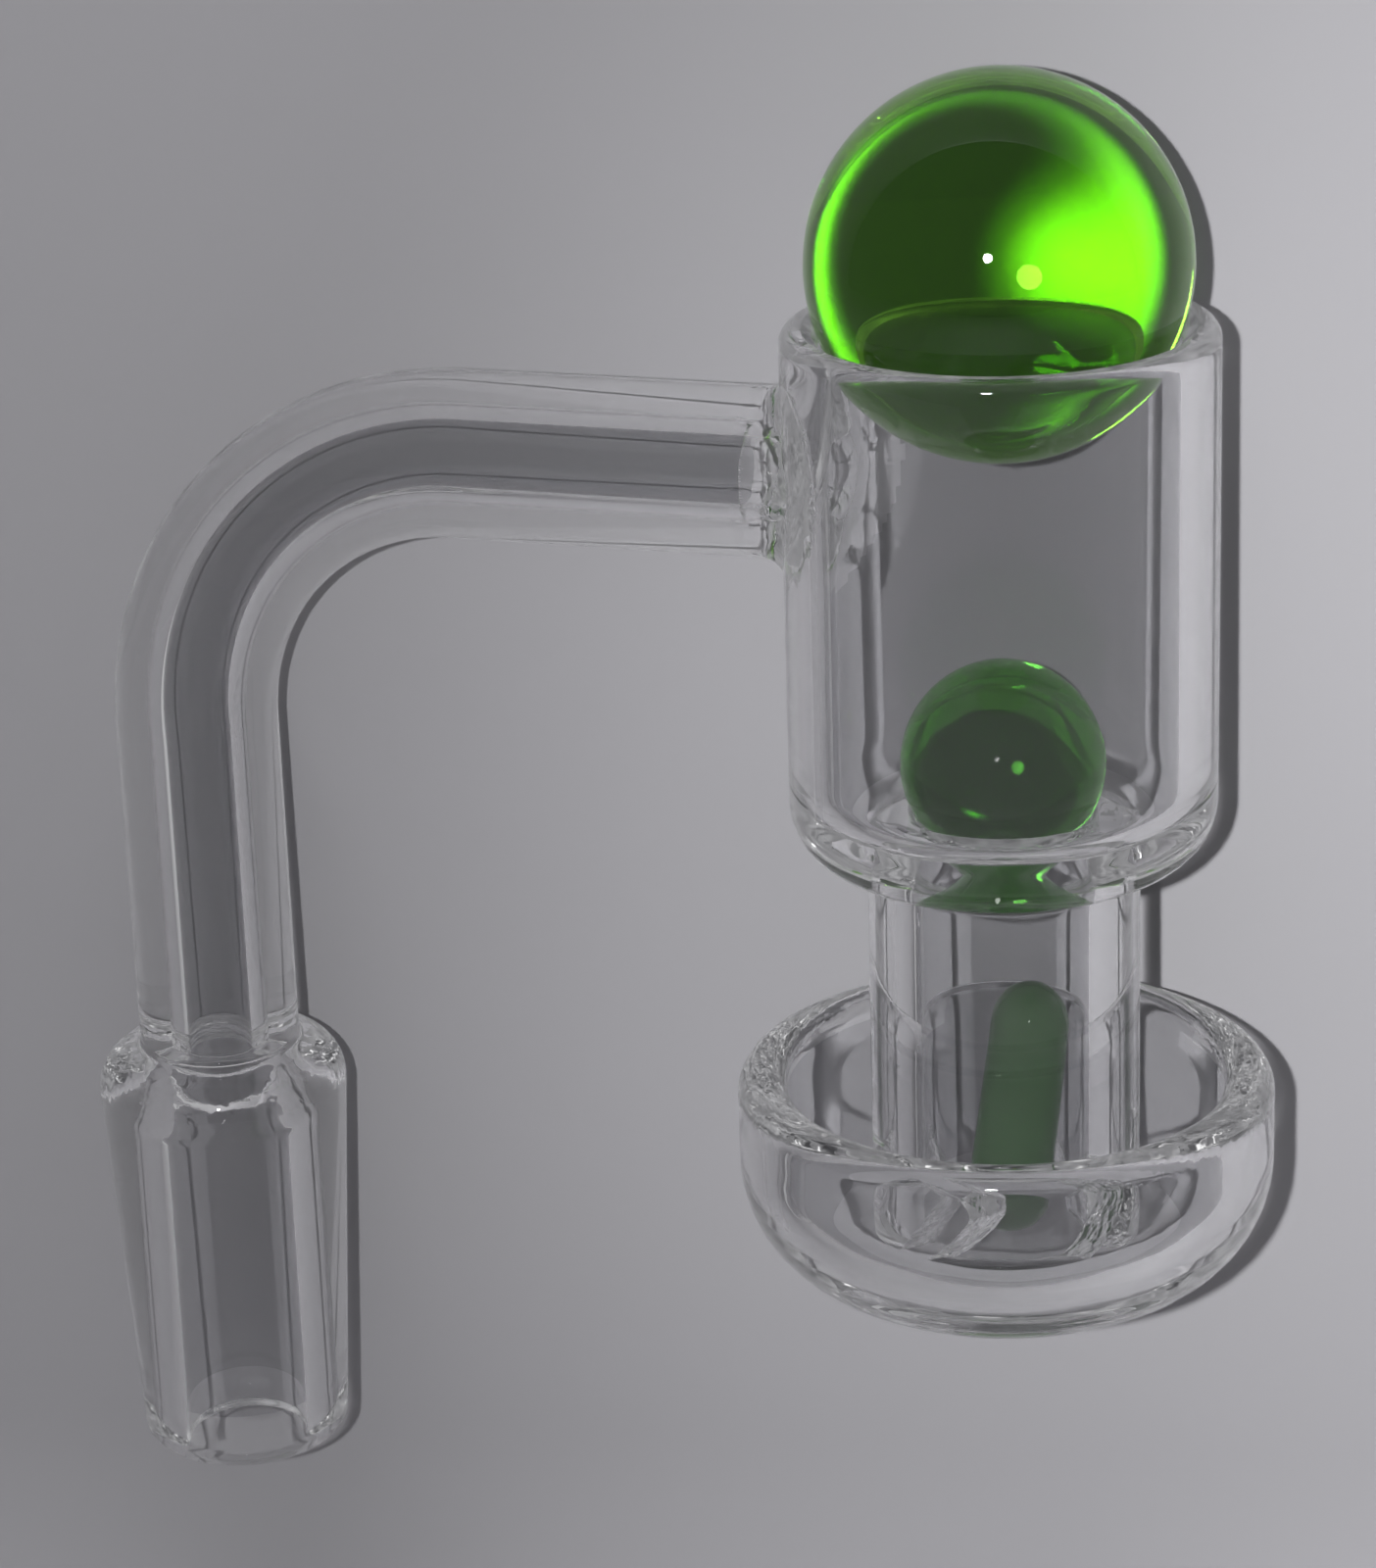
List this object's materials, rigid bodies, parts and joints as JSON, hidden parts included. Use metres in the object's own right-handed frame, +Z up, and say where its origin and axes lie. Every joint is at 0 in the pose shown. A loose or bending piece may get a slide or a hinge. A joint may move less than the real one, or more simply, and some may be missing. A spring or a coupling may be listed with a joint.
{
  "type": "slurper banger",
  "caption": "Clear quartz cup on a slotted neck in a shallow dish, with a bent side arm to a male ground joint; loose green glass marbles and a pill sit inside and on the rim.",
  "frame": {"origin": "on the axis of the male ground joint, in the plane where its taper measures 14.5 mm across", "axes": "+Z up along the joint's axis towards the arm; +X from the joint's axis to the chamber's axis"},
  "size_m": [0.0748, 0.032, 0.0909],
  "materials": {
    "clear_quartz": "clear, fire-polished",
    "green_glass": "clear coloured, polished"
  },
  "bodies": {
    "vessel": {"ground_joint": "clear_quartz", "arm_elbow": "clear_quartz", "chamber": "clear_quartz", "neck_tube": "clear_quartz", "dish": "clear_quartz"},
    "cap_marble": {"cap_marble": "green_glass"},
    "valve_marble": {"valve_marble": "green_glass"},
    "pill": {"pill": "green_glass"}
  },
  "joints": [
    {"name": "cap_marble_lift", "type": "slide", "parent": "vessel", "child": "cap_marble", "axis": [0, 0, 1], "range_m": [0, 0.03]},
    {"name": "valve_marble_lift", "type": "slide", "parent": "vessel", "child": "valve_marble", "axis": [0, 0, 1], "range_m": [0, 0.012]},
    {"name": "pill_lift", "type": "slide", "parent": "vessel", "child": "pill", "axis": [0, 0, 1], "range_m": [0, 0.008]}
  ]
}
